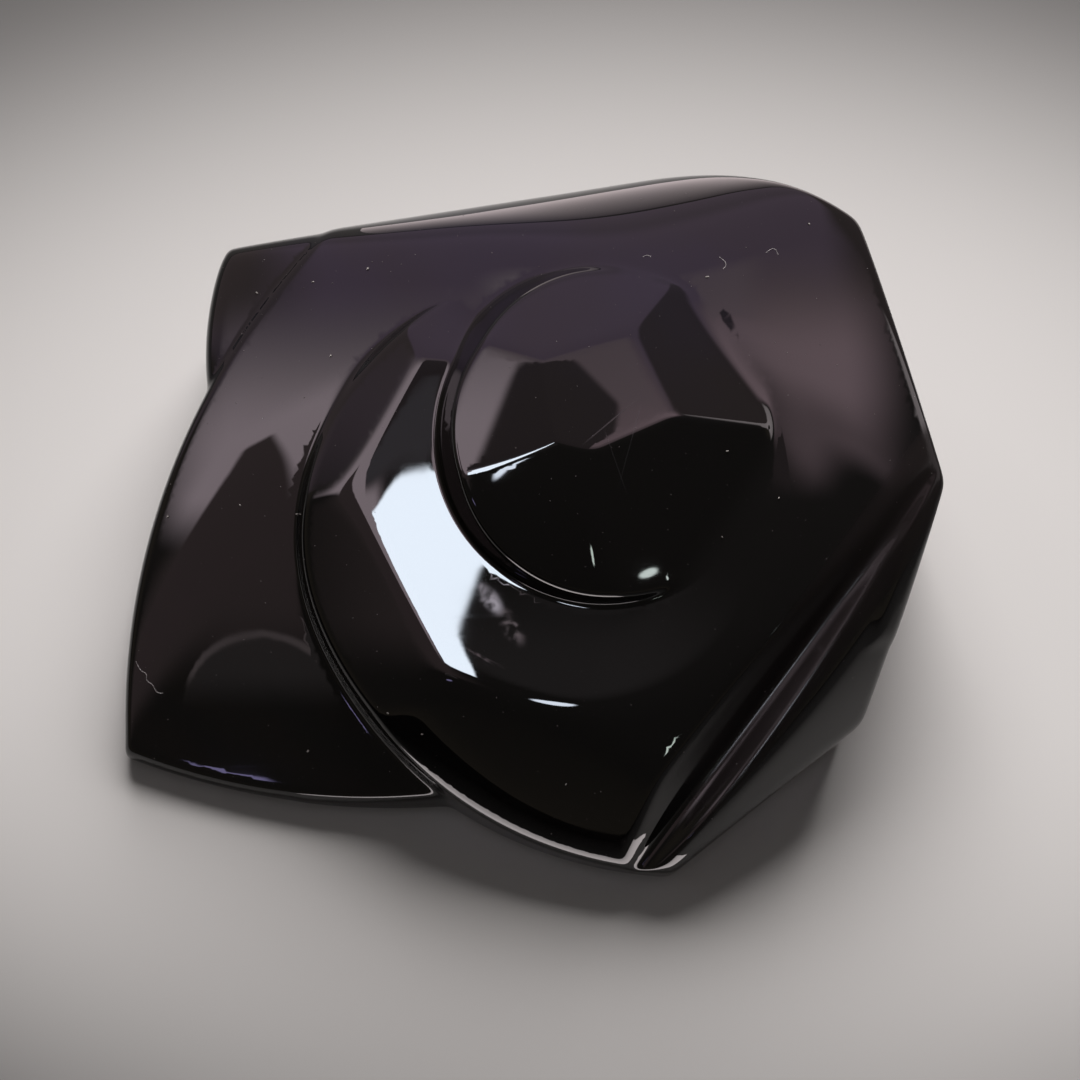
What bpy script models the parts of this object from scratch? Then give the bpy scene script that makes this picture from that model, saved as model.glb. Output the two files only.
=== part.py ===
"""Polished obsidian freeform: one carved and polished stone, lying on its flat base.

The stone is a spiral of stepped petals round a low faceted dome. It is worked the way a
carver works it, as a set of cuts on a blank. The cuts are laid out in the carver's face frame,
in millimetres: X to the right, Y up the face, Z out of it. The face then leans back by
FACE_LEAN on the flat base, and the finished mesh is in metres with +Z up.
"""
import math

import bmesh
import bpy
import numpy as np
from mathutils import Matrix

MM = 0.001

# Driving dimensions of the whole stone
FACE_LEAN = 18.0            # degrees that the face leans back from level
HEART = (12.0, -8.0, 7.0)    # a point inside the blank that sees the whole skin, mm
BASE_ROUNDING = 3.0         # width of the rounded edge between the sides and the base, mm
BLANK_REACH = 70.0          # no point of the blank is further than this from its heart, mm
BASE_TRUE = 0.02            # skin closer to the base plane than this is lapped flat, mm

# The dome
DOME_CENTRE = (7.1, 11.6)
DOME_RADIUS = 18.6          # at its foot
DOME_FOOT = 30.5            # height of the foot in the face frame
DOME_DRAFT = 15.0           # degrees that its wall leans in
DOME_UNDERSIDE = 22.0       # it is rooted in the stone down to here
PEAK = (1.8, 10.6, 40.0)

# The upper petal, which winds round the dome from its root to its tip
SHOULDER_RADIUS = 90.0      # the broad crown that carries the petals
SHOULDER_TOP = 34.4
ROOT_ANGLE = 137.0          # direction of the spiral's root from the dome, degrees
SPIRAL_START = 22.9         # the spiral wall's radius at the root
SPIRAL_GROWTH = 0.177       # and what it gains with each degree
SPIRAL_BULGE = 1.55         # swelling of the wall on the left
SPIRAL_BULGE_TURN = 63.0    # where it swells most, degrees past the root
SPIRAL_BULGE_SPREAD = 24.0
SPIRAL_DRAFT = 10.0         # degrees that the wall leans in
SPIRAL_FOOT = 26.0
STEP = 1.2                  # fillet width at the foot of the spiral wall

# Outline of the stone
FAR_EDGE_TURN = 8.7         # the far edge climbs to the right by this, degrees
FAR_EDGE_RADIUS = 24.0      # its broad rolled shoulder
FACE_RELIEF = 22.0          # degrees that the far side leans in below it

# How finely the skin is worked
RAY_SPREAD = (1.0, 1.0, 0.6)    # rays from the heart are squashed so that more meet the sides
HALVINGS = 28               # halvings of the search for the skin along each ray
FACES_KEPT = 0.11           # share of the first even faces that the finished solid keeps
CREASE = 25.0               # edges sharper than this many degrees are shaded as creases


def lean(right, up):
    """Outward direction of a facet that leans to the right and up the face, in degrees."""
    direction = np.array([math.tan(math.radians(right)), math.tan(math.radians(up)), 1.0])
    return direction / np.linalg.norm(direction)


def joined(a, b, width):
    """Stone that is inside both cuts, with their shared edge rounded over a width."""
    near = np.maximum(width - np.abs(a - b), 0.0) / width
    return np.maximum(a, b) + near ** 3 * width / 6.0


def merged(a, b, width):
    """Stone that is inside either shape, with the crease between them filled over a width."""
    return -joined(-a, -b, width)


def ease(start, end, value):
    """0 before start, 1 after end, and a smooth rise between."""
    t = np.clip((value - start) / (end - start), 0.0, 1.0)
    return t * t * (3.0 - 2.0 * t)


def facet(points, on, right, up, crown):
    """A polished facet: a ball of radius crown that passes through one point at a lean."""
    centre = np.array(on) - crown * lean(right, up)
    return np.linalg.norm(points - centre, axis=1) - crown


def wall(points, centre, radius, height, draft, arc=None):
    """An upright arc wall that leans in by draft. Past the ends of its arc it runs straight."""
    x, y = points[:, 0] - centre[0], points[:, 1] - centre[1]
    if arc is None:
        reach = np.hypot(x, y)
    else:
        middle, half = math.radians((arc[0] + arc[1]) / 2), math.radians((arc[1] - arc[0]) / 2)
        turn = np.arctan2(y, x) - middle
        turn = np.clip(np.arctan2(np.sin(turn), np.cos(turn)), -half, half) + middle
        reach = x * np.cos(turn) + y * np.sin(turn)
    draft = math.radians(draft)
    return (reach - radius) * math.cos(draft) + (points[:, 2] - height) * math.sin(draft)


def side(points, on, facing, draft):
    """A straight side through one point, facing a direction in the face, in degrees."""
    facing, draft = math.radians(facing), math.radians(draft)
    outward = np.array([math.cos(facing) * math.cos(draft), math.sin(facing) * math.cos(draft),
                        math.sin(draft)])
    return (points - np.array(on)) @ outward


def rolled_edge(points, axis, turn, radius, relief):
    """The far edge: a round bar's surface from its top over to a side that leans in."""
    turn = math.radians(turn)
    offset = points - np.array(axis)
    out = offset @ np.array([-math.sin(turn), math.cos(turn), 0.0])
    up = offset[:, 2]
    angle = np.clip(np.arctan2(up, out), -math.radians(relief), math.pi / 2)
    angle = np.where((out < 0) & (up < 0), -math.radians(relief), angle)
    return out * np.cos(angle) + up * np.sin(angle) - radius


def valley(points, start, end, bow, left, right, width):
    """A groove from start to end, bowed up with radius bow, with banks at these angles."""
    start, end = np.array(start), np.array(end)
    length = np.linalg.norm(end - start)
    along = (end - start) / length
    across = np.cross(along, (0.0, 0.0, 1.0))
    across /= np.linalg.norm(across)
    upward = np.cross(across, along)
    offset = points - (start + end) / 2 + math.sqrt(bow ** 2 - length ** 2 / 4) * upward
    off = offset @ across
    high = np.hypot(offset @ along, offset @ upward) - bow
    left, right = math.radians(left), math.radians(right)
    return merged(high * math.cos(left) + off * math.sin(left),
                  high * math.cos(right) - off * math.sin(right), width)


def dome(points):
    """The faceted dome in the middle of the spiral."""
    left = facet(points, PEAK, -7, 3.5, 120)
    right = facet(points, PEAK, 7, 7, 200)
    lower = facet(points, PEAK, 1, -14, 70)
    top = facet(points, (2.2, 20.7, 38.4), 0, 30, 150)
    upper_right = facet(points, (12.5, 17.3, 37.5), 23.5, 16, 250)
    lower_right = facet(points, (15.0, 12.9, 37.3), 21, -17, 250)
    crown = joined(joined(left, right, 0.1), lower, 0.25)
    crown = joined(crown, top, 0.5)
    crown = joined(crown, joined(upper_right, lower_right, 0.3), 0.4)
    body = joined(crown, wall(points, DOME_CENTRE, DOME_RADIUS, DOME_FOOT, DOME_DRAFT), 1.0)
    return np.maximum(body, DOME_UNDERSIDE - points[:, 2])


def far_corner(points):
    """The round corner between the far edge and the right side."""
    return wall(points, (16.2, 8.9), 31.9, 20, -4, (50, 98.7))


def right_side(points):
    """The straight-sided right end, with the big side facet at the lower right."""
    upper = side(points, (43.9, 6.9, 22), 18.3, -6)
    lower = side(points, (36.2, -20.2, 20), -16.2, -6)
    bottom = side(points, (15.0, -37.0, 20), -51.5, 4)
    ends = joined(joined(joined(upper, lower, 1.0), bottom, 1.0), far_corner(points), 1.0)
    return joined(ends, facet(points, (27.6, -19.8, 26.4), 35.6, -37, 90), 1.0)


def spiral_wall(points, turn):
    """The upper petal's outer wall, a spiral about the dome that swells on the left."""
    reach = np.hypot(points[:, 0] - DOME_CENTRE[0], points[:, 1] - DOME_CENTRE[1])
    swelling = SPIRAL_BULGE * np.exp(-((turn - SPIRAL_BULGE_TURN) / SPIRAL_BULGE_SPREAD) ** 2)
    edge = SPIRAL_START + SPIRAL_GROWTH * turn + swelling
    draft = math.radians(SPIRAL_DRAFT)
    return (reach - edge) * math.cos(draft) + (points[:, 2] - SPIRAL_FOOT) * math.sin(draft)


def stone(points):
    """How far each point is outside the finished stone, in mm, and below 0 inside it."""
    turn = np.degrees(np.arctan2(points[:, 1] - DOME_CENTRE[1], points[:, 0] - DOME_CENTRE[0]))
    turn = np.mod(turn - ROOT_ANGLE, 360.0)
    shoulder = facet(points, (*DOME_CENTRE, SHOULDER_TOP), 0, 0, SHOULDER_RADIUS)
    low = facet(points, (12.5, 8.0, 33.2), 0, 3, 110)
    root = ease(300, 355, turn)
    far = rolled_edge(points, (2.2, 14.75, 14.0), FAR_EDGE_TURN, FAR_EDGE_RADIUS, FACE_RELIEF)
    wing_left = wall(points, (30.9, -19.9), 77.2, 18, 3.5, (130, 180))
    wing_front = wall(points, (-16.6, 46.2), 76.8, 10, 17, (240, 290))
    right = right_side(points)
    plough = valley(points, (15.5, -30.5, 20.3), (37.5, -0.5, 27.0), 115, 46, 34, 1.6)

    # The upper petal: table, front, lower left corner and left flank
    crown = shoulder + (low - shoulder) * (root + 1 - ease(0, 25, turn))
    upper = joined(joined(crown, far, 4.0), far_corner(points), 3.5)
    table = facet(points, (-12.1, -5.5, 29.8), -4, -6, 450)
    front = facet(points, (2.2, -18.9, 28.95), -9, -30, 200)
    upper = joined(upper, joined(table, front, 0.8), 0.8)
    corner = facet(points, (-17.8, -0.55, 29.85), -25.6, -16.2, 300)
    flank = facet(points, (-15.3, 15.3, 31.4), -30.4, 12.7, 300)
    upper = joined(upper, joined(corner, flank, 0.5), 0.5)
    upper = joined(upper, spiral_wall(points, turn), 1.2)
    upper = joined(upper, plough, 0.7)
    lip = joined(wall(points, (28.0, 51.8), 90.3, 20, 18, (235, 275)),
                 wall(points, (28.0, 51.8), 88.3, 20.5, 50, (235, 275)), 0.4)
    upper = joined(joined(upper, lip, 0.5), joined(right, wing_left, 1.2), 1.2)

    # The lower petal: the left shoulder and the broad wing
    low = shoulder + (low - shoulder) * np.maximum(root, 1 - ease(150, 250, turn))
    flat = facet(points, (-30.6, -6.7, 20.5), -10, -17, 400)
    wing = joined(joined(joined(low, far, 4.0), flat, 2.5), joined(wing_left, wing_front, 1.0), 1.2)
    wing = joined(joined(wing, right, 1.2), plough, 0.7)

    # The back block behind the wing
    block = joined(joined(low + 0.4, far, 4.0), facet(points, (-26.5, 30.6, 26.5), -36, 20, 80), 1.0)
    block = joined(joined(block, flat + 0.4, 3.0), wing_front, 1.0)
    block_left = wall(points, (-4.5, 21.4), 32.6, 14, -5, (150, 190))
    block = joined(block, joined(block_left, right, 1.0), 3.0)

    fillet = STEP * np.clip(ease(0, 30, turn) * (1 - ease(300, 345, turn)), 0.001, 1)
    body = merged(merged(merged(upper, wing, fillet), block, 0.6), dome(points), 1.0)
    tilt = math.radians(FACE_LEAN)
    base = -(points[:, 1] * math.sin(tilt) + points[:, 2] * math.cos(tilt))
    return joined(body, base, BASE_ROUNDING)


def on_the_skin(directions):
    """Where rays from the heart of the blank meet the finished skin."""
    near, far = np.zeros(len(directions)), np.full(len(directions), BLANK_REACH)
    heart = np.array(HEART)
    for _ in range(HALVINGS):
        middle = (near + far) / 2
        inside = stone(heart + middle[:, None] * directions) < 0
        near, far = np.where(inside, middle, near), np.where(inside, far, middle)
    return heart + near[:, None] * directions


def clear_scene():
    for old in list(bpy.data.objects):
        bpy.data.objects.remove(old, do_unlink=True)


def obsidian_material():
    material = bpy.data.materials.new("polished_obsidian")
    material.use_nodes = True
    shader = material.node_tree.nodes["Principled BSDF"]
    shader.inputs["Base Color"].default_value = (0.012, 0.010, 0.013, 1.0)
    shader.inputs["Roughness"].default_value = 0.05
    shader.inputs["Metallic"].default_value = 0.0
    return material


def obsidian_chunk():
    """The whole stone, as one closed solid that stands on z = 0."""
    ball = bmesh.new()
    bmesh.ops.create_icosphere(ball, subdivisions=7, radius=1.0)
    directions = np.array([vert.co for vert in ball.verts]) * RAY_SPREAD
    directions /= np.linalg.norm(directions, axis=1)[:, None]
    for vert, place in zip(ball.verts, on_the_skin(directions)):
        vert.co = place * MM
    bmesh.ops.rotate(ball, cent=(0, 0, 0), verts=ball.verts,
                     matrix=Matrix.Rotation(math.radians(FACE_LEAN), 3, "X"))
    mesh = bpy.data.meshes.new("obsidian_chunk")
    ball.to_mesh(mesh)
    ball.free()
    blank = bpy.data.objects.new("blank", mesh)
    bpy.context.scene.collection.objects.link(blank)
    thin = blank.modifiers.new("fewer_faces", "DECIMATE")
    thin.ratio = FACES_KEPT
    thin.use_collapse_triangulate = True
    graph = bpy.context.evaluated_depsgraph_get()
    solid = bpy.data.meshes.new_from_object(blank.evaluated_get(graph))
    bpy.data.objects.remove(blank, do_unlink=True)

    places = np.array([vert.co for vert in solid.vertices])
    middle = (places.min(axis=0) + places.max(axis=0)) / 2
    places[:, :2] -= middle[:2]
    places[places[:, 2] < BASE_TRUE * MM, 2] = 0.0
    solid.vertices.foreach_set("co", places.ravel())
    solid.name = "obsidian_chunk"
    stone_object = bpy.data.objects.new("obsidian_chunk", solid)
    bpy.context.scene.collection.objects.link(stone_object)
    solid.materials.append(obsidian_material())
    solid.shade_smooth()
    solid.set_sharp_from_angle(angle=math.radians(CREASE))
    return stone_object


clear_scene()
obsidian_chunk()
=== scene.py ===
"""A polished black obsidian freeform lying on a pale table in soft studio light.

The stone is worked again here as a fine skin on the exact cuts of its solid, with the finish,
the dust and the lint that lie on it, and then the table, the studio and the camera.
"""
import math

import bmesh
import bpy
import numpy as np
from mathutils import Matrix, Vector


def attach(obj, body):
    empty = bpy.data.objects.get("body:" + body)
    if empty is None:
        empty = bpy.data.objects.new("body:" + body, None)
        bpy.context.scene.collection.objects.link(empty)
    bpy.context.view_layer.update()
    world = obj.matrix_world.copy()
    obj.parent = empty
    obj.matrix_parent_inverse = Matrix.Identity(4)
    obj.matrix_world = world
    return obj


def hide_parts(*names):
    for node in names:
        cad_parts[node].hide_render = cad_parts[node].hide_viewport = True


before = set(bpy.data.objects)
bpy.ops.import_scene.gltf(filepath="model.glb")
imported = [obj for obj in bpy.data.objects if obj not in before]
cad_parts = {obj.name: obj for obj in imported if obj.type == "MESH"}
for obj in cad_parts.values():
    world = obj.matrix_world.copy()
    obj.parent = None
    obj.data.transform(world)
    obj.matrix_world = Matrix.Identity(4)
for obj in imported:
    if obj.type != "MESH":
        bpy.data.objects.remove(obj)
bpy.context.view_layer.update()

# The stone
# One piece of volcanic glass, carved as a spiral of stepped petals round a low faceted dome and
# polished to a mirror. Every cut is laid out in the carver's face frame, in millimetres: X to
# the right, Y up the face, Z out of it. The face leans back by FACE_LEAN on the flat base.
MM = 0.001

# Driving dimensions of the whole stone
FACE_LEAN = 18.0            # degrees that the face leans back from level
BASE_ROUNDING = 3.0         # width of the rounded edge between the sides and the base, mm

# The dome
DOME_CENTRE = (7.1, 11.6)
DOME_RADIUS = 18.6          # at its foot
DOME_FOOT = 30.5            # height of the foot in the face frame
DOME_DRAFT = 15.0           # degrees that its wall leans in
DOME_UNDERSIDE = 22.0       # it is rooted in the stone down to here
PEAK = (1.8, 10.6, 40.0)

# The upper petal, which winds round the dome from its root to its tip
SHOULDER_RADIUS = 90.0      # the broad crown that carries the petals
SHOULDER_TOP = 34.4
ROOT_ANGLE = 137.0          # direction of the spiral's root from the dome, degrees
SPIRAL_START = 22.9         # the spiral wall's radius at the root
SPIRAL_GROWTH = 0.177       # and what it gains with each degree
SPIRAL_BULGE = 1.55         # swelling of the wall on the left
SPIRAL_BULGE_TURN = 63.0    # where it swells most, degrees past the root
SPIRAL_BULGE_SPREAD = 24.0
SPIRAL_DRAFT = 10.0         # degrees that the wall leans in
SPIRAL_FOOT = 26.0
STEP = 1.2                  # fillet width at the foot of the spiral wall

# Outline of the stone
FAR_EDGE_TURN = 8.7         # the far edge climbs to the right by this, degrees
FAR_EDGE_RADIUS = 24.0      # its broad rolled shoulder
FACE_RELIEF = 22.0          # degrees that the far side leans in below it


def lean(right, up):
    """Outward direction of a facet that leans to the right and up the face, in degrees."""
    direction = np.array([math.tan(math.radians(right)), math.tan(math.radians(up)), 1.0])
    return direction / np.linalg.norm(direction)


def joined(a, b, width):
    """Stone that is inside both cuts, with their shared edge rounded over a width."""
    near = np.maximum(width - np.abs(a - b), 0.0) / width
    return np.maximum(a, b) + near ** 3 * width / 6.0


def merged(a, b, width):
    """Stone that is inside either shape, with the crease between them filled over a width."""
    return -joined(-a, -b, width)


def ease(start, end, value):
    """0 before start, 1 after end, and a smooth rise between."""
    t = np.clip((value - start) / (end - start), 0.0, 1.0)
    return t * t * (3.0 - 2.0 * t)


def facet(points, on, right, up, crown):
    """A polished facet: a ball of radius crown that passes through one point at a lean."""
    centre = np.array(on) - crown * lean(right, up)
    return np.linalg.norm(points - centre, axis=1) - crown


def wall(points, centre, radius, height, draft, arc=None):
    """An upright arc wall that leans in by draft. Past the ends of its arc it runs straight."""
    x, y = points[:, 0] - centre[0], points[:, 1] - centre[1]
    if arc is None:
        reach = np.hypot(x, y)
    else:
        middle, half = math.radians((arc[0] + arc[1]) / 2), math.radians((arc[1] - arc[0]) / 2)
        turn = np.arctan2(y, x) - middle
        turn = np.clip(np.arctan2(np.sin(turn), np.cos(turn)), -half, half) + middle
        reach = x * np.cos(turn) + y * np.sin(turn)
    draft = math.radians(draft)
    return (reach - radius) * math.cos(draft) + (points[:, 2] - height) * math.sin(draft)


def side(points, on, facing, draft):
    """A straight side through one point, facing a direction in the face, in degrees."""
    facing, draft = math.radians(facing), math.radians(draft)
    outward = np.array([math.cos(facing) * math.cos(draft), math.sin(facing) * math.cos(draft),
                        math.sin(draft)])
    return (points - np.array(on)) @ outward


def rolled_edge(points, axis, turn, radius, relief):
    """The far edge: a round bar's surface from its top over to a side that leans in."""
    turn = math.radians(turn)
    offset = points - np.array(axis)
    out = offset @ np.array([-math.sin(turn), math.cos(turn), 0.0])
    up = offset[:, 2]
    angle = np.clip(np.arctan2(up, out), -math.radians(relief), math.pi / 2)
    angle = np.where((out < 0) & (up < 0), -math.radians(relief), angle)
    return out * np.cos(angle) + up * np.sin(angle) - radius


def valley(points, start, end, bow, left, right, width):
    """A groove from start to end, bowed up with radius bow, with banks at these angles."""
    start, end = np.array(start), np.array(end)
    length = np.linalg.norm(end - start)
    along = (end - start) / length
    across = np.cross(along, (0.0, 0.0, 1.0))
    across /= np.linalg.norm(across)
    upward = np.cross(across, along)
    offset = points - (start + end) / 2 + math.sqrt(bow ** 2 - length ** 2 / 4) * upward
    off = offset @ across
    high = np.hypot(offset @ along, offset @ upward) - bow
    left, right = math.radians(left), math.radians(right)
    return merged(high * math.cos(left) + off * math.sin(left),
                  high * math.cos(right) - off * math.sin(right), width)


def dome(points):
    """The faceted dome in the middle of the spiral."""
    left = facet(points, PEAK, -7, 3.5, 120)
    right = facet(points, PEAK, 7, 7, 200)
    lower = facet(points, PEAK, 1, -14, 70)
    top = facet(points, (2.2, 20.7, 38.4), 0, 30, 150)
    upper_right = facet(points, (12.5, 17.3, 37.5), 23.5, 16, 250)
    lower_right = facet(points, (15.0, 12.9, 37.3), 21, -17, 250)
    crown = joined(joined(left, right, 0.1), lower, 0.25)
    crown = joined(crown, top, 0.5)
    crown = joined(crown, joined(upper_right, lower_right, 0.3), 0.4)
    body = joined(crown, wall(points, DOME_CENTRE, DOME_RADIUS, DOME_FOOT, DOME_DRAFT), 1.0)
    return np.maximum(body, DOME_UNDERSIDE - points[:, 2])


def far_corner(points):
    """The round corner between the far edge and the right side."""
    return wall(points, (16.2, 8.9), 31.9, 20, -4, (50, 98.7))


def right_side(points):
    """The straight-sided right end, with the big side facet at the lower right."""
    upper = side(points, (43.9, 6.9, 22), 18.3, -6)
    lower = side(points, (36.2, -20.2, 20), -16.2, -6)
    bottom = side(points, (15.0, -37.0, 20), -51.5, 4)
    ends = joined(joined(joined(upper, lower, 1.0), bottom, 1.0), far_corner(points), 1.0)
    return joined(ends, facet(points, (27.6, -19.8, 26.4), 35.6, -37, 90), 1.0)


def spiral_wall(points, turn):
    """The upper petal's outer wall, a spiral about the dome that swells on the left."""
    reach = np.hypot(points[:, 0] - DOME_CENTRE[0], points[:, 1] - DOME_CENTRE[1])
    swelling = SPIRAL_BULGE * np.exp(-((turn - SPIRAL_BULGE_TURN) / SPIRAL_BULGE_SPREAD) ** 2)
    edge = SPIRAL_START + SPIRAL_GROWTH * turn + swelling
    draft = math.radians(SPIRAL_DRAFT)
    return (reach - edge) * math.cos(draft) + (points[:, 2] - SPIRAL_FOOT) * math.sin(draft)


def stone(points):
    """How far each point is outside the finished stone, in mm, and below 0 inside it."""
    turn = np.degrees(np.arctan2(points[:, 1] - DOME_CENTRE[1], points[:, 0] - DOME_CENTRE[0]))
    turn = np.mod(turn - ROOT_ANGLE, 360.0)
    shoulder = facet(points, (*DOME_CENTRE, SHOULDER_TOP), 0, 0, SHOULDER_RADIUS)
    low = facet(points, (12.5, 8.0, 33.2), 0, 3, 110)
    root = ease(300, 355, turn)
    far = rolled_edge(points, (2.2, 14.75, 14.0), FAR_EDGE_TURN, FAR_EDGE_RADIUS, FACE_RELIEF)
    wing_left = wall(points, (30.9, -19.9), 77.2, 18, 3.5, (130, 180))
    wing_front = wall(points, (-16.6, 46.2), 76.8, 10, 17, (240, 290))
    right = right_side(points)
    plough = valley(points, (15.5, -30.5, 20.3), (37.5, -0.5, 27.0), 115, 46, 34, 1.6)

    # The upper petal: table, front, lower left corner and left flank
    crown = shoulder + (low - shoulder) * (root + 1 - ease(0, 25, turn))
    upper = joined(joined(crown, far, 4.0), far_corner(points), 3.5)
    table = facet(points, (-12.1, -5.5, 29.8), -4, -6, 450)
    front = facet(points, (2.2, -18.9, 28.95), -9, -30, 200)
    upper = joined(upper, joined(table, front, 0.8), 0.8)
    corner = facet(points, (-17.8, -0.55, 29.85), -25.6, -16.2, 300)
    flank = facet(points, (-15.3, 15.3, 31.4), -30.4, 12.7, 300)
    upper = joined(upper, joined(corner, flank, 0.5), 0.5)
    upper = joined(upper, spiral_wall(points, turn), 1.2)
    upper = joined(upper, plough, 0.7)
    lip = joined(wall(points, (28.0, 51.8), 90.3, 20, 18, (235, 275)),
                 wall(points, (28.0, 51.8), 88.3, 20.5, 50, (235, 275)), 0.4)
    upper = joined(joined(upper, lip, 0.5), joined(right, wing_left, 1.2), 1.2)

    # The lower petal: the left shoulder and the broad wing
    low = shoulder + (low - shoulder) * np.maximum(root, 1 - ease(150, 250, turn))
    flat = facet(points, (-30.6, -6.7, 20.5), -10, -17, 400)
    wing = joined(joined(joined(low, far, 4.0), flat, 2.5), joined(wing_left, wing_front, 1.0), 1.2)
    wing = joined(joined(wing, right, 1.2), plough, 0.7)

    # The back block behind the wing
    block = joined(joined(low + 0.4, far, 4.0), facet(points, (-26.5, 30.6, 26.5), -36, 20, 80), 1.0)
    block = joined(joined(block, flat + 0.4, 3.0), wing_front, 1.0)
    block_left = wall(points, (-4.5, 21.4), 32.6, 14, -5, (150, 190))
    block = joined(block, joined(block_left, right, 1.0), 3.0)

    fillet = STEP * np.clip(ease(0, 30, turn) * (1 - ease(300, 345, turn)), 0.001, 1)
    body = merged(merged(merged(upper, wing, fillet), block, 0.6), dome(points), 1.0)
    tilt = math.radians(FACE_LEAN)
    base = -(points[:, 1] * math.sin(tilt) + points[:, 2] * math.cos(tilt))
    return joined(body, base, BASE_ROUNDING)


SKIN_GRAIN = 0.8            # spacing of the even skin, mm
CREASE_GRAIN = 0.14         # edges over a crease are split down to about this, mm
CREASE_TURN = 5.0           # where the skin turns by more degrees than this along an edge
FACE_TO_WORLD = np.array(Matrix.Rotation(math.radians(FACE_LEAN), 3, "X"))


def slope(points):
    """How fast the distance from the skin grows along X, Y and Z at each point."""
    step = 0.01
    return np.stack([(stone(points + move) - stone(points - move)) / (2 * step)
                     for move in np.eye(3) * step], axis=1)


def outward(points):
    """The direction straight out of the skin at each point."""
    away = slope(points)
    return away / np.linalg.norm(away, axis=1)[:, None]


def laid_on_skin(points):
    """Points moved straight in or out until they lie on the skin."""
    for _ in range(3):
        away = slope(points)
        reach = stone(points) / np.maximum((away ** 2).sum(axis=1), 0.3)
        points = points - np.clip(reach, -0.6, 0.6)[:, None] * away
    return points


def evened(points, edges):
    """Points slid along the skin, half way to the middle of their neighbours."""
    total, count = np.zeros_like(points), np.zeros(len(points))
    for here, there in ((0, 1), (1, 0)):
        np.add.at(total, edges[:, here], points[edges[:, there]])
        np.add.at(count, edges[:, here], 1)
    move = total / count[:, None] - points
    away = outward(points)
    return points + 0.5 * (move - (move * away).sum(axis=1)[:, None] * away)


def read_points(verts):
    return np.array([vert.co for vert in verts])


def face_frame(places, shift):
    """World places in metres, as points of the face frame in mm."""
    return (places / MM - shift) @ FACE_TO_WORLD


def find_shift(places):
    """How far the solid was moved over the table, in mm, found by matching it to the cuts."""
    shift = np.zeros(3)
    for _ in range(12):
        points = face_frame(places, shift)
        pull = -(slope(points) @ FACE_TO_WORLD.T)[:, :2]
        step = np.linalg.lstsq(pull, -stone(points), rcond=None)[0]
        shift[:2] += np.clip(step, -4, 4)
    return shift


def fine_skin(solid):
    """The stone's skin as fine triangles on the exact cuts, and its outward directions."""
    work = bmesh.new()
    work.from_mesh(solid.data)
    bmesh.ops.remove_doubles(work, verts=work.verts, dist=1e-6)
    shift = find_shift(read_points(work.verts))
    blank_mesh = bpy.data.meshes.new("blank")
    work.to_mesh(blank_mesh)
    blank = bpy.data.objects.new("blank", blank_mesh)
    bpy.context.scene.collection.objects.link(blank)
    even = blank.modifiers.new("even_skin", "REMESH")
    even.mode = "VOXEL"
    even.voxel_size = SKIN_GRAIN * MM
    graph = bpy.context.evaluated_depsgraph_get()
    skin = bpy.data.meshes.new_from_object(blank.evaluated_get(graph))
    bpy.data.objects.remove(blank, do_unlink=True)

    points = face_frame(read_points(skin.vertices), shift)
    edges = np.array([edge.vertices[:] for edge in skin.edges])
    for _ in range(3):
        points = laid_on_skin(evened(points, edges))
    work.clear()
    work.from_mesh(skin)
    bmesh.ops.triangulate(work, faces=work.faces)
    for _ in range(3):
        away = outward(points)
        for vert, place in zip(work.verts, points):
            vert.co = place
        work.verts.index_update()
        limit = math.cos(math.radians(CREASE_TURN))
        turned = [edge for edge in work.edges if edge.calc_length() > CREASE_GRAIN * 1.4
                  and away[edge.verts[0].index] @ away[edge.verts[1].index] < limit]
        bmesh.ops.subdivide_edges(work, edges=turned, cuts=1)
        bmesh.ops.triangulate(work, faces=work.faces)
        points = laid_on_skin(read_points(work.verts))
    away = outward(points)
    places = (points @ FACE_TO_WORLD.T + shift) * MM
    places[:, 2] = np.maximum(places[:, 2], 0.0)
    work.to_mesh(skin)
    work.free()
    skin.vertices.foreach_set("co", places.ravel())
    skin.shade_smooth()
    skin.normals_split_custom_set_from_vertices(away @ FACE_TO_WORLD.T)
    skin.update()
    return skin, shift


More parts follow.
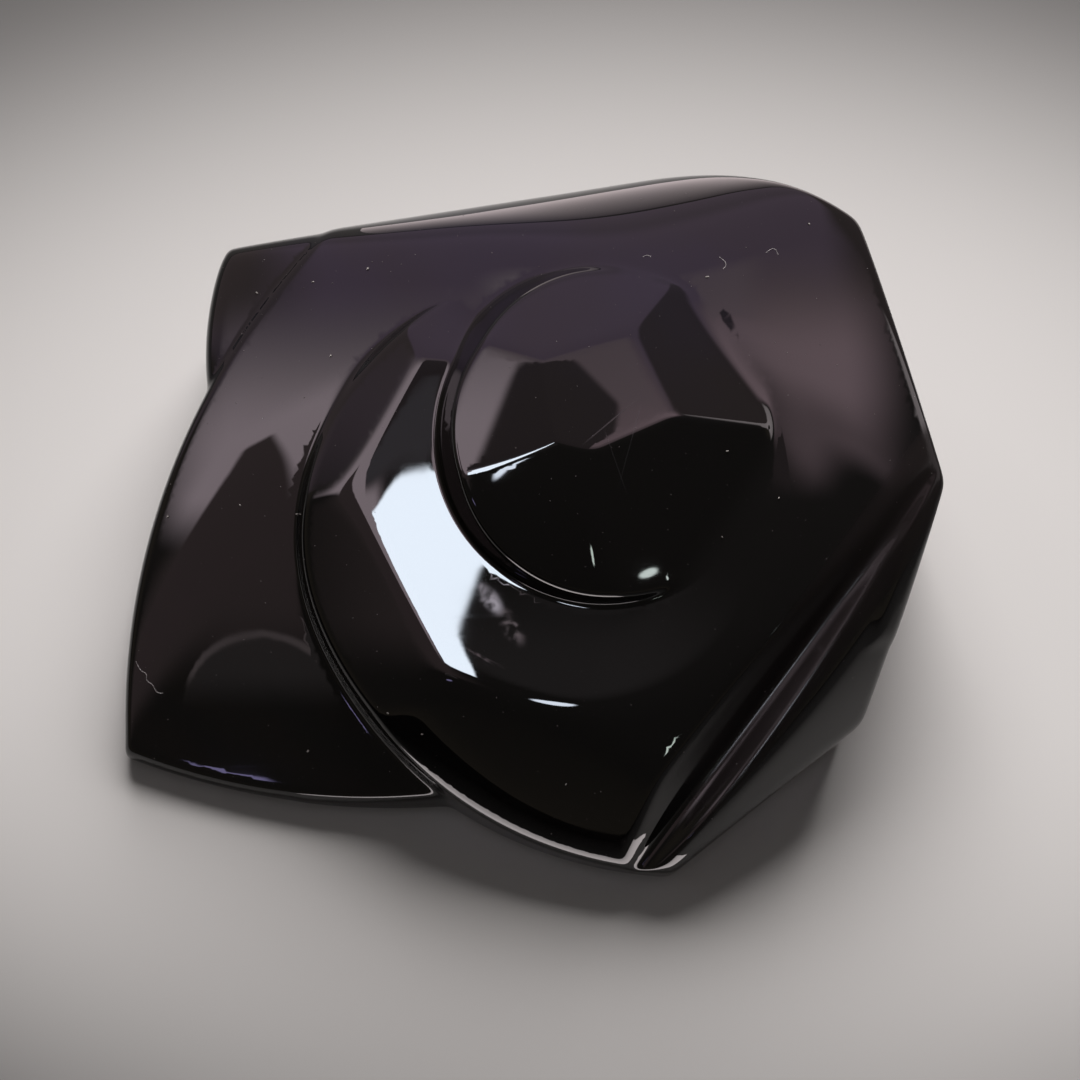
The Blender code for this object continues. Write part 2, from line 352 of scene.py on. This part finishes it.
class Paint:
    """A shader socket that can be used in arithmetic. Each operator adds its Math node."""

    def __init__(self, tree, output):
        self.tree, self.output = tree, output

    def node(self, kind, settings=None, pick=0, **values):
        """Any other node: its settings first, then its sockets by name, or by n and number."""
        made = self.tree.nodes.new(kind)
        for name, value in (settings or {}).items():
            setattr(made, name, value)
        for name, value in values.items():
            key = int(name[1:]) if name[0] == "n" and name[1:].isdigit() else name.replace("_", " ")
            if isinstance(value, Paint):
                self.tree.links.new(value.output, made.inputs[key])
            else:
                made.inputs[key].default_value = value
        return Paint(self.tree, made.outputs[pick])

    def colour(self, red, green, blue):
        made = self.node("ShaderNodeRGB")
        made.output.default_value = (red, green, blue, 1.0)
        return made

    def maths(self, operation, first, second=0.0):
        return self.node("ShaderNodeMath", {"operation": operation}, n0=first, n1=second)

    def __add__(self, other):
        return self.maths("ADD", self, other)

    def __sub__(self, other):
        return self.maths("SUBTRACT", self, other)

    def __rsub__(self, other):
        return self.maths("SUBTRACT", other, self)

    def __mul__(self, other):
        return self.maths("MULTIPLY", self, other)

    def __truediv__(self, other):
        return self.maths("DIVIDE", self, other)

    def __rtruediv__(self, other):
        return self.maths("DIVIDE", other, self)

    __radd__, __rmul__ = __add__, __mul__

    def rise(self, start, end):
        """0 before start, 1 after end, and a smooth rise between."""
        return self.node("ShaderNodeMapRange", {"interpolation_type": "SMOOTHSTEP"},
                         Value=self, From_Min=start, From_Max=end)

    def into(self, shader, socket):
        """Feed a shader's socket with this."""
        self.tree.links.new(self.output, shader.inputs[socket])

    def under(self, colour, mask):
        """This colour with another laid over it where the mask is 1."""
        if not isinstance(colour, Paint):
            colour = (*colour, 1.0)
        return self.node("ShaderNodeMix", {"data_type": "RGBA"}, pick=2, n0=mask, n6=self, n7=colour)


def new_material(name):
    """A node material, its Principled shader, and a Paint to start expressions from."""
    material = bpy.data.materials.new(name)
    material.use_nodes = True
    shader = material.node_tree.nodes["Principled BSDF"]
    return material, shader, Paint(material.node_tree, None)


BLACK_GLASS = (0.0078, 0.0068, 0.0068)
# Tints of the flow bands, partly painted reflection: brown of the mirrored floor, violet of the mirrored
# backdrop.
BROWN_BAND_AND_FLOOR_REFLECTION = (0.0115, 0.0085, 0.0075)
VIOLET_BAND_AND_BACKDROP_REFLECTION = (0.0085, 0.0075, 0.0115)
SCRATCHES = (((4.0, 9.8), (11.4, 16.0), 0.1), ((11.2, 15.6), (8.2, 4.6), 0.09),
             ((6.8, 12.4), (9.8, 4.0), 0.08))   # start, end and width on the face, mm
VALLEY_MIDDLE = (26.5, -15.5)
VALLEY_RUN = (0.591, 0.806)
VALLEY_PAINTED_SHADE = 0.82      # how much of the valley's reflection is dimmed by a rough, weakly reflecting coat, as painted shade


def obsidian_material(shift):
    """Black glass with faint flow bands tinted by painted reflection, polishing haze, a valley dimmed as
    painted shade and three scratches.
    """
    material, shader, paint = new_material("polished_obsidian")
    where = paint.node("ShaderNodeTexCoord", pick=3)
    where = paint.node("ShaderNodeVectorMath", {"operation": "SUBTRACT"}, n0=where, n1=tuple(shift * MM))
    where = paint.node("ShaderNodeVectorRotate", {"rotation_type": "X_AXIS"}, Vector=where,
                       Angle=-math.radians(FACE_LEAN))
    where = paint.node("ShaderNodeVectorMath", {"operation": "SCALE"}, n0=where, Scale=1 / MM)
    x, y, z = (paint.node("ShaderNodeSeparateXYZ", pick=axis, Vector=where) for axis in range(3))

    def stroke(start, end, width):
        """A thin straight line across the face, from start to end."""
        reach = math.dist(start, end)
        turn = math.atan2(end[1] - start[1], end[0] - start[0])
        over, above = x - start[0], y - start[1]
        along = over * math.cos(turn) + above * math.sin(turn)
        across = paint.maths("ABSOLUTE", above * math.cos(turn) - over * math.sin(turn))
        return across.rise(width, width * 0.3) * along.rise(0, reach * 0.3) * along.rise(reach, reach * 0.6)

    # Flow bands lie nearly flat through the glass. Their tints are partly painted reflection: brown low on
    # the sides, where the floor is mirrored, and violet over the crown, where the violet backdrop is
    # mirrored
    flow = paint.node("ShaderNodeTexNoise", Vector=where, Scale=0.05, Detail=3.0)
    bands = paint.node("ShaderNodeTexWave", {"bands_direction": "Z"}, Vector=where, Scale=0.11,
                       Distortion=7.0, Detail=3.0, Detail_Scale=0.4)
    # Painted reflection laid on the flow bands: brown low on the sides, violet over the crown.
    tint = paint.colour(*BLACK_GLASS).under(BROWN_BAND_AND_FLOOR_REFLECTION, bands * z.rise(26, 8) * 0.7)
    tint = tint.under(VIOLET_BAND_AND_BACKDROP_REFLECTION, flow.rise(0.4, 0.65) * y.rise(8, 26) * 0.8)

    # The polish: a faint haze in long strokes, fine scratches on the dome, and painted shade in the valley,
    # where a rough, weakly reflecting coat dims the reflections
    stretched = paint.node("ShaderNodeMapping", Vector=where, Scale=(0.06, 1.4, 0.5))
    strokes = paint.node("ShaderNodeTexNoise", Vector=stretched, Scale=1.0, Detail=4.0)
    haze = paint.node("ShaderNodeTexNoise", Vector=where, Scale=0.09, Detail=2.0)
    rough = haze.rise(0.35, 0.7) * 0.018 + strokes.rise(0.5, 0.75) * 0.012 + 0.014
    first, second, third = (stroke(*scratch) for scratch in SCRATCHES)
    scratched = first + second + third
    tint = tint.under((0.05, 0.045, 0.05), scratched * 0.4)
    over, above = x - VALLEY_MIDDLE[0], y - VALLEY_MIDDLE[1]
    off = paint.maths("ABSOLUTE", over * VALLEY_RUN[1] - above * VALLEY_RUN[0])
    along = x * VALLEY_RUN[0] + y * VALLEY_RUN[1]
    # Painted shade: where this mask is 1, the valley's reflections are dimmed.
    valley_shade_mask = off.rise(4.6, 2.8) * along.rise(-18, -6) * z.rise(14, 18)
    rough = rough + scratched * 0.15 + valley_shade_mask * 0.13

    tint.into(shader, "Base Color")
    rough.into(shader, "Roughness")
    shader.inputs["IOR"].default_value = 1.5
    # A rough coat that reflects little, laid over the valley as painted shade.
    valley_shade_coat = paint.node("ShaderNodeBsdfPrincipled", Base_Color=(0.012, 0.0095, 0.009, 1.0),
                      Roughness=0.5, IOR=1.15)
    finish = paint.node("ShaderNodeMixShader", n0=valley_shade_mask * VALLEY_PAINTED_SHADE,
                        n1=Paint(paint.tree, shader.outputs[0]), n2=valley_shade_coat)
    finish.into(paint.tree.nodes["Material Output"], "Surface")
    return material


skin, shift = fine_skin(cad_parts["obsidian_chunk"])
skin.materials.clear()
skin.materials.append(obsidian_material(shift))
chunk = bpy.data.objects.new("polished_chunk", skin)
bpy.context.scene.collection.objects.link(chunk)
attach(chunk, "root")
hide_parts("obsidian_chunk")

# Dust, lint and fibres
# A few pale specks, three tiny curled fibres and one lint hair lie loose on the polish, with finer
# dust settled all over it. They are placed along the lines of sight of the photograph.
EYE = (0.0, 0.0, 720.0)     # where the photograph was taken from, in the face frame
PIXEL = 0.11125             # mm on the face for one pixel of the photograph
FACE_HEIGHT = 20.0          # where in the face frame that holds


def seen_at(pixels):
    """Where the lines of sight through these pixels meet the skin, and the way out of it there."""
    pixels = np.array(pixels, dtype=float)
    aim = np.stack([(pixels[:, 0] - 540) * PIXEL, (540 - pixels[:, 1]) * PIXEL,
                    np.full(len(pixels), FACE_HEIGHT)], axis=1)
    sight = aim - EYE
    sight /= np.linalg.norm(sight, axis=1)[:, None]
    far = np.full(len(pixels), 670.0)
    for _ in range(80):
        far += 0.7 * stone(EYE + sight * far[:, None])
    points = EYE + sight * far[:, None]
    return points, outward(points)


def to_world(points):
    return (points @ FACE_TO_WORLD.T + shift) * MM


def dirt_material(name, tone, rough):
    material, shader, paint = new_material(name)
    where = paint.node("ShaderNodeTexCoord", pick=3)
    grain = paint.node("ShaderNodeTexNoise", Vector=where, Scale=2500.0, Detail=1.0)
    pale = paint.colour(*tone).under(tuple(0.45 * part for part in tone), grain.rise(0.4, 0.7))
    pale.into(shader, "Base Color")
    shader.inputs["Roughness"].default_value = rough
    return material


def add_dirt(name, mesh):
    dirt = bpy.data.objects.new(name, mesh)
    bpy.context.scene.collection.objects.link(dirt)
    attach(dirt, "root")


def add_specks(name, pixels, sizes, material):
    """Small angular crumbs lying on the skin."""
    places, away = seen_at(pixels)
    made = bmesh.new()
    for number, (place, out, size) in enumerate(zip(places, away, sizes)):
        new = bmesh.ops.create_icosphere(made, subdivisions=1, radius=size / 2)["verts"]
        for corner, vert in enumerate(new):
            vert.co *= 1.0 + 0.35 * math.sin(number * 2.1 + corner * 3.7)
            vert.co.x *= 1.3
            vert.co += Vector(place + out * size * 0.25)
    mesh = bpy.data.meshes.new(name)
    made.to_mesh(mesh)
    made.free()
    spots = to_world(read_points(mesh.vertices))
    mesh.vertices.foreach_set("co", spots.ravel())
    mesh.materials.append(material)
    add_dirt(name, mesh)


def add_fibres(name, paths, radius, material):
    """Hair-thin fibres lying along these rows of pixels."""
    curve = bpy.data.curves.new(name, "CURVE")
    curve.dimensions = "3D"
    curve.bevel_depth = radius * MM
    curve.bevel_resolution = 1
    curve.use_fill_caps = True
    for path in paths:
        places, away = seen_at(path)
        lifts = 1.2 + np.sin(np.arange(len(path)) * 1.9)
        spots = to_world(places + away * (radius * lifts)[:, None])
        line = curve.splines.new("NURBS")
        line.points.add(len(path) - 1)
        line.points.foreach_set("co", np.hstack([spots, np.ones((len(path), 1))]).ravel())
        line.use_endpoint_u = True
        line.order_u = 3
        line.resolution_u = 6
    laid = bpy.data.objects.new(name, curve)
    bpy.context.scene.collection.objects.link(laid)
    graph = bpy.context.evaluated_depsgraph_get()
    mesh = bpy.data.meshes.new_from_object(laid.evaluated_get(graph))
    bpy.data.objects.remove(laid, do_unlink=True)
    mesh.materials.clear()
    mesh.materials.append(material)
    add_dirt(name, mesh)


def add_dust(name, per_square_metre, material):
    """Fine dust settled on whatever faces up, as real grains."""
    tree = bpy.data.node_groups.new(name, "GeometryNodeTree")
    tree.interface.new_socket("Geometry", in_out="INPUT", socket_type="NodeSocketGeometry")
    amount = tree.interface.new_socket("Grains", in_out="INPUT", socket_type="NodeSocketFloat")
    tree.interface.new_socket("Geometry", in_out="OUTPUT", socket_type="NodeSocketGeometry")
    build = Paint(tree, None)
    ground, density = build.node("NodeGroupInput"), build.node("NodeGroupInput", pick=1)
    facing = build.node("ShaderNodeSeparateXYZ", pick=2, Vector=build.node("GeometryNodeInputNormal"))
    flat = build.maths("GREATER_THAN", facing, 0.35)
    points = build.node("GeometryNodeDistributePointsOnFaces", Mesh=ground, Selection=flat,
                        Density=density, Seed=11)
    grain = build.node("GeometryNodeMeshIcoSphere", Radius=1.0, Subdivisions=1)
    size = build.node("FunctionNodeRandomValue", {"data_type": "FLOAT"}, pick=1, n2=0.0, n3=1.0, n8=5)
    size = size * size * size * LARGEST_GRAIN + SMALLEST_GRAIN
    grains = build.node("GeometryNodeInstanceOnPoints", Points=points, Instance=grain, Scale=size)
    grains = build.node("GeometryNodeRealizeInstances", Geometry=grains)
    grains = build.node("GeometryNodeSetMaterial", Geometry=grains, Material=material)
    grains.into(tree.nodes.new("NodeGroupOutput"), 0)
    bed = bpy.data.objects.new("dust_bed", chunk.data)
    bpy.context.scene.collection.objects.link(bed)
    live = bed.modifiers.new(name, "NODES")
    live.node_group = tree
    live[amount.identifier] = per_square_metre
    graph = bpy.context.evaluated_depsgraph_get()
    mesh = bpy.data.meshes.new_from_object(bed.evaluated_get(graph))
    bpy.data.objects.remove(bed, do_unlink=True)
    add_dirt(name, mesh)


SMALLEST_GRAIN = 0.00002    # radius, and what the largest has more, in metres
LARGEST_GRAIN = 0.00006
FIBRE_RADIUS = 0.028
pale_dust = dirt_material("pale_dust", (0.42, 0.38, 0.36), 0.8)
grey_dust = dirt_material("grey_dust", (0.16, 0.14, 0.14), 0.9)
lint = dirt_material("lint", (0.55, 0.5, 0.5), 0.6)
add_specks("large_specks",
           [(368, 269), (313, 282), (257, 293), (331, 356), (707, 277), (809, 224), (779, 498), (727, 451),
            (722, 537), (168, 517), (297, 514), (240, 505), (308, 751), (422, 734), (388, 713), (566, 784)],
           [0.3, 0.22, 0.25, 0.26, 0.3, 0.22, 0.2, 0.22, 0.2, 0.26, 0.2, 0.2, 0.24, 0.2, 0.2, 0.22],
           pale_dust)
add_fibres("curled_fibres", [[(719, 257), (724, 260), (727, 266), (723, 269)],
                             [(766, 253), (771, 248), (777, 250), (778, 255)],
                             [(643, 257), (647, 254), (651, 257)]], FIBRE_RADIUS, lint)
add_fibres("lint_hair", [[(136, 661), (140, 671), (147, 673), (146, 681), (153, 684), (157, 694),
                          (163, 693)]], FIBRE_RADIUS, lint)
add_dust("settled_dust", 90000.0, grey_dust)

# The table
# A plain pale sheet that the stone lies on. Its colour holds a painted pool of light round the stone,
# fading to painted shade at its edges, and painted shade towards the front left.


TABLE_REACH = 1.5
TABLE_TOP = -0.0001
PALE_SHEET = (0.64, 0.605, 0.59)
POOL = (0.0607, 0.0638)     # half the photograph's width and height on the table, in metres


def add_table():
    mesh = bpy.data.meshes.new("table")
    corners = [(x * TABLE_REACH, y * TABLE_REACH, TABLE_TOP)
               for x, y in ((-1, -1), (1, -1), (1, 1), (-1, 1))]
    mesh.from_pydata(corners, [], [(0, 1, 2, 3)])
    table = bpy.data.objects.new("table", mesh)
    bpy.context.scene.collection.objects.link(table)
    material, shader, paint = new_material("pale_table")
    where = paint.node("ShaderNodeTexCoord", pick=3)
    x, y = (paint.node("ShaderNodeSeparateXYZ", pick=axis, Vector=where) for axis in range(2))
    over = (x - shift[0] * MM) / POOL[0] - 0.1
    back = (y - shift[1] * MM) / POOL[1] + 0.13
    # Painted pool of light: the sheet's colour is palest round the stone and darker towards the edges and
    # corners.
    painted_pool_and_shade = (over * over * 0.35 + back * back).rise(2.0, 0.1) * 0.83 + 0.2
    # Painted shade: the sheet's colour is darker towards the front left of the stone.
    painted_pool_and_shade = painted_pool_and_shade - paint.maths("MINIMUM", over, 0) * back.rise(0, -1) * -0.16
    paint.colour(0, 0, 0).under(PALE_SHEET, painted_pool_and_shade).into(shader, "Base Color")
    shader.inputs["Roughness"].default_value = 0.9
    shader.inputs["Specular IOR Level"].default_value = 0.0
    mesh.materials.append(material)


add_table()

# The studio
# What the mirror polish sees round it: one big pale ring of light with the camera's dark hood in
# its middle, a violet backdrop over the top, a cool window and a dim room. Only glossy rays see
# it. Directions are degrees to the right and up from the camera, laid out flat.


def add_studio():
    world = bpy.data.worlds.new("studio")
    bpy.context.scene.world = world
    world.use_nodes = True
    paint = Paint(world.node_tree, None)
    seen = paint.node("ShaderNodeTexCoord")
    seen = paint.node("ShaderNodeVectorRotate", {"rotation_type": "X_AXIS"}, Vector=seen,
                      Angle=-math.radians(FACE_LEAN))
    x, y, z = (paint.node("ShaderNodeSeparateXYZ", pick=axis, Vector=seen) for axis in range(3))
    flat = paint.maths("SQRT", x * x + y * y)
    off_axis = paint.maths("ARCTAN2", flat, z) * (180 / math.pi)
    light = studio_light(paint, x / flat * off_axis, y / flat * off_axis)
    glossy = paint.node("ShaderNodeLightPath", pick="Is Glossy Ray")
    camera = paint.node("ShaderNodeLightPath", pick="Is Camera Ray")
    light = paint.colour(*ROOM_LIGHT).under(BACKDROP, camera).under(light, glossy)
    light.into(world.node_tree.nodes["Background"], "Color")


def studio_light(paint, right, up):
    """The colour of the studio in the direction right and up, in degrees from the camera."""

    def spot(centre, reach, turn, soft=0.25):
        """A soft oval round one direction, turned anticlockwise."""
        turn = math.radians(turn)
        over, above = right - centre[0], up - centre[1]
        along = (over * math.cos(turn) + above * math.sin(turn)) / reach[0]
        across = (above * math.cos(turn) - over * math.sin(turn)) / reach[1]
        return paint.maths("SQRT", along * along + across * across).rise(1 + soft, 1 - soft)

    polar = paint.maths("SQRT", right * right + up * up)
    leftward = right * -1
    colour = paint.colour(0.06, 0.055, 0.05)
    colour = colour.under((0.13, 0.11, 0.085), polar.rise(62, 78))

    # A violet backdrop over the top, darker towards its ends
    colour = colour.under((0.75, 0.54, 0.78), up.rise(16, 30))
    colour = colour.under((0.50, 0.37, 0.50), up.rise(70, 90))
    colour = colour.under((0.38, 0.29, 0.30), leftward.rise(40, 52) * up.rise(18, 30))
    colour = colour.under((0.23, 0.17, 0.17), right.rise(33, 41) * up.rise(14, 22))

    # The front of the room, low down on the left, and a round table in it
    low = up.rise(-38, -34) * up.rise(-2, -16) * leftward.rise(13, 20) * leftward.rise(60, 48)
    colour = colour.under((0.34, 0.26, 0.26), low)
    middle = (-22.3, -39.2)
    colour = colour.under((0.25, 0.22, 0.22), spot(middle, (3.6, 3.6), 0, 0.02) * up.rise(-39, -37))
    rim = spot(middle, (3.75, 3.75), 0, 0.03) - spot(middle, (3.45, 3.45), 0, 0.03)
    colour = colour.under((0.85, 0.7, 0.72), rim * up.rise(-38, -37))

    # A lit wall past the right side
    wall = (right - (29 - up) * 0.31).rise(41, 48) * up.rise(22, 19) * up.rise(-14, -8)
    colour = colour.under((2.6, 2.3, 2.35), wall)

    # The big pale ring light, brightest on its left
    left = (up + right * 0.68).rise(-48, -37) * up.rise(31, 9) * polar.rise(69, 54)
    left = left * (leftward + paint.maths("MINIMUM", up + 10, 0) * 0.45).rise(12, 18)
    colour = colour.under((3.6, 2.95, 3.25), left)
    down = paint.maths("MINIMUM", up - 12, 0)
    over = paint.maths("MAXIMUM", up - 12, 0)
    edge = right + down * down * 0.02 + over * over * 0.01
    far = (up.rise(-9.5, -1.5) * 0.52 + up.rise(-1, 9) * 0.48) * up.rise(31, 12) * edge.rise(48, 36)
    colour = colour.under((2.25, 1.62, 1.82), far * right.rise(-20, 36))
    top = up.rise(17, 18) * up.rise(31, 26) * leftward.rise(-26, -19) * right.rise(-24, -18)
    colour = colour.under((1.3, 1.0, 1.1), top * 0.55)

    # The camera's dark hood in the middle of it
    flare = paint.maths("MINIMUM", paint.maths("MAXIMUM", 16 - up, 0) * 0.4, 5)
    hood = (right + 18.7 + flare).rise(-0.7, 0.7) * (right - up * 0.13).rise(16.6, 16.0)
    hood = hood * (up - right * 0.1).rise(24.5, 21.5)
    hood = hood * (right + up).rise(36.6, 35.8) * (up - right).rise(36, 34)
    colour = colour.under((0.2, 0.15, 0.16), hood * up.rise(-9, -7))
    lit = hood * right.rise(-6, -9) * up.rise(-1, -5) * up.rise(-8.5, -7)
    colour = colour.under((0.48, 0.44, 0.5), lit)

    # A tall dark stand in front of its left part
    stand = (right * 0.839 + up * 0.545).rise(-33.1, -34.5) * (right + 49).rise(-1, 1)
    colour = colour.under((0.38, 0.28, 0.29), stand * up.rise(6.8, 5.0) * up.rise(-37, -31))

    # The window, a lit bar under it, and small lamps
    colour = colour.under((0.2, 0.18, 0.18), spot((-4, -16.5), (6, 4.5), 0, 0.6))
    window = (right - (up + 11.6) * 0.36).rise(-6.9, -7.3) * (right + 19.5).rise(-0.4, 0.4)
    window = window * up.rise(-27.5, -26.5) * (up - right * 0.22).rise(-5.7, -6.1)
    colour = colour.under((19.6, 21.6, 24.2), window)
    colour = colour.under((16.0, 17.5, 20.0), spot((-7.2, -30.6), (4.4, 1.1), 55, 0.2))
    colour = colour.under((12.0, 13.5, 13.0), spot((40.7, -40.9), (0.6, 0.25), 20))
    colour = colour.under((10.0, 11.5, 10.5), spot((12.4, -48.6), (2.4, 0.9), 62))
    colour = colour.under((2.6, 2.3, 4.4), spot((-24.0, -42.6), (2.0, 0.8), 0))

    # Crumpled foil beside the window
    flat = paint.node("ShaderNodeCombineXYZ", X=right, Y=up)
    crumple = paint.node("ShaderNodeTexNoise", Vector=flat, Scale=1.6, Detail=4.0, Distortion=1.2)
    crumple = crumple.rise(0.42, 0.62)
    colour = colour.under((8.0, 7.4, 8.4), spot((-6.75, -12.75), (0.62, 0.26), -52, 0.5) * crumple)
    colour = colour.under((2.8, 2.3, 2.5), spot((-5.95, -13.8), (0.6, 0.28), -60, 0.6) * crumple)
    return colour.under((2.4, 1.9, 2.1), spot((-7.4, -15.6), (0.7, 0.22), -20, 0.6) * crumple)


ROOM_LIGHT = (0.09, 0.088, 0.087)   # what falls on the stone and the table from all round
BACKDROP = (0.5, 0.48, 0.47)        # what the camera sees past the table
add_studio()


def add_light(name, place, aim, radius, cone, watts):
    """A soft round spotlight that lights the table but isn't mirrored in the stone."""
    light = bpy.data.lights.new(name, "SPOT")
    light.shadow_soft_size = radius
    light.spot_size = math.radians(cone)
    light.spot_blend = 1.0
    light.energy = watts
    lamp = bpy.data.objects.new(name, light)
    lamp.location = place
    lamp.rotation_euler = (Vector(aim) - Vector(place)).to_track_quat("-Z", "Y").to_euler()
    lamp.scale = (1.35, 1.0, 1.0)
    lamp.visible_glossy = False
    lamp.visible_camera = False
    bpy.context.scene.collection.objects.link(lamp)


def add_card(name, corners, colour, fade):
    """A glowing card that only the polish sees, dimmer away from the line y = fade."""
    mesh = bpy.data.meshes.new(name)
    mesh.from_pydata(corners, [], [tuple(range(len(corners)))])
    card = bpy.data.objects.new(name, mesh)
    bpy.context.scene.collection.objects.link(card)
    material, shader, paint = new_material(name)
    where = paint.node("ShaderNodeTexCoord", pick=3)
    y = paint.node("ShaderNodeSeparateXYZ", pick=1, Vector=where)
    glow = paint.colour(0, 0, 0).under(colour, paint.maths("MINIMUM", fade / y, 1.0))
    shader.inputs["Base Color"].default_value = (0, 0, 0, 1)
    glow.into(shader, "Emission Color")
    shader.inputs["Emission Strength"].default_value = 1.0
    mesh.materials.append(material)
    card.visible_camera = card.visible_diffuse = card.visible_shadow = False


CARD_HEIGHT = 0.0005
add_light("soft_light", place=(0.07, 0.58, 0.48), aim=(0.002, 0, 0), radius=0.34, cone=100, watts=43)
add_card("far_card", [(-0.025, 0.070, CARD_HEIGHT), (0.16, 0.070, CARD_HEIGHT), (0.6, 0.6, CARD_HEIGHT),
                      (-0.16, 0.6, CARD_HEIGHT)], (1.7, 1.45, 1.45), fade=0.075)
add_card("near_card", [(-0.033, -0.050, CARD_HEIGHT), (-0.040, -0.085, CARD_HEIGHT),
                       (0.024, -0.085, CARD_HEIGHT), (0.024, -0.050, CARD_HEIGHT)],
         (5.5, 5.0, 5.0), fade=-0.06)

# The camera
# It looks straight down on the face of the stone, from the photograph's side.
FOCUS = np.array((0.0, 0.0, 20.0))
DISTANCE = 700.0            # from the camera to that point, mm
VIEW_WIDTH = 120.15         # what the picture spans there, mm
SENSOR = 36.0


def add_camera():
    lens = bpy.data.cameras.new("camera")
    lens.sensor_width = SENSOR
    lens.lens = SENSOR * DISTANCE / VIEW_WIDTH
    camera = bpy.data.objects.new("camera", lens)
    eye = FOCUS + np.array((0.0, 0.0, DISTANCE))
    camera.location = Vector((FACE_TO_WORLD @ eye + shift) * MM)
    camera.rotation_euler = (math.radians(FACE_LEAN), 0, 0)
    bpy.context.scene.collection.objects.link(camera)
    bpy.context.scene.camera = camera


add_camera()
bpy.context.scene.view_settings.view_transform = "Standard"
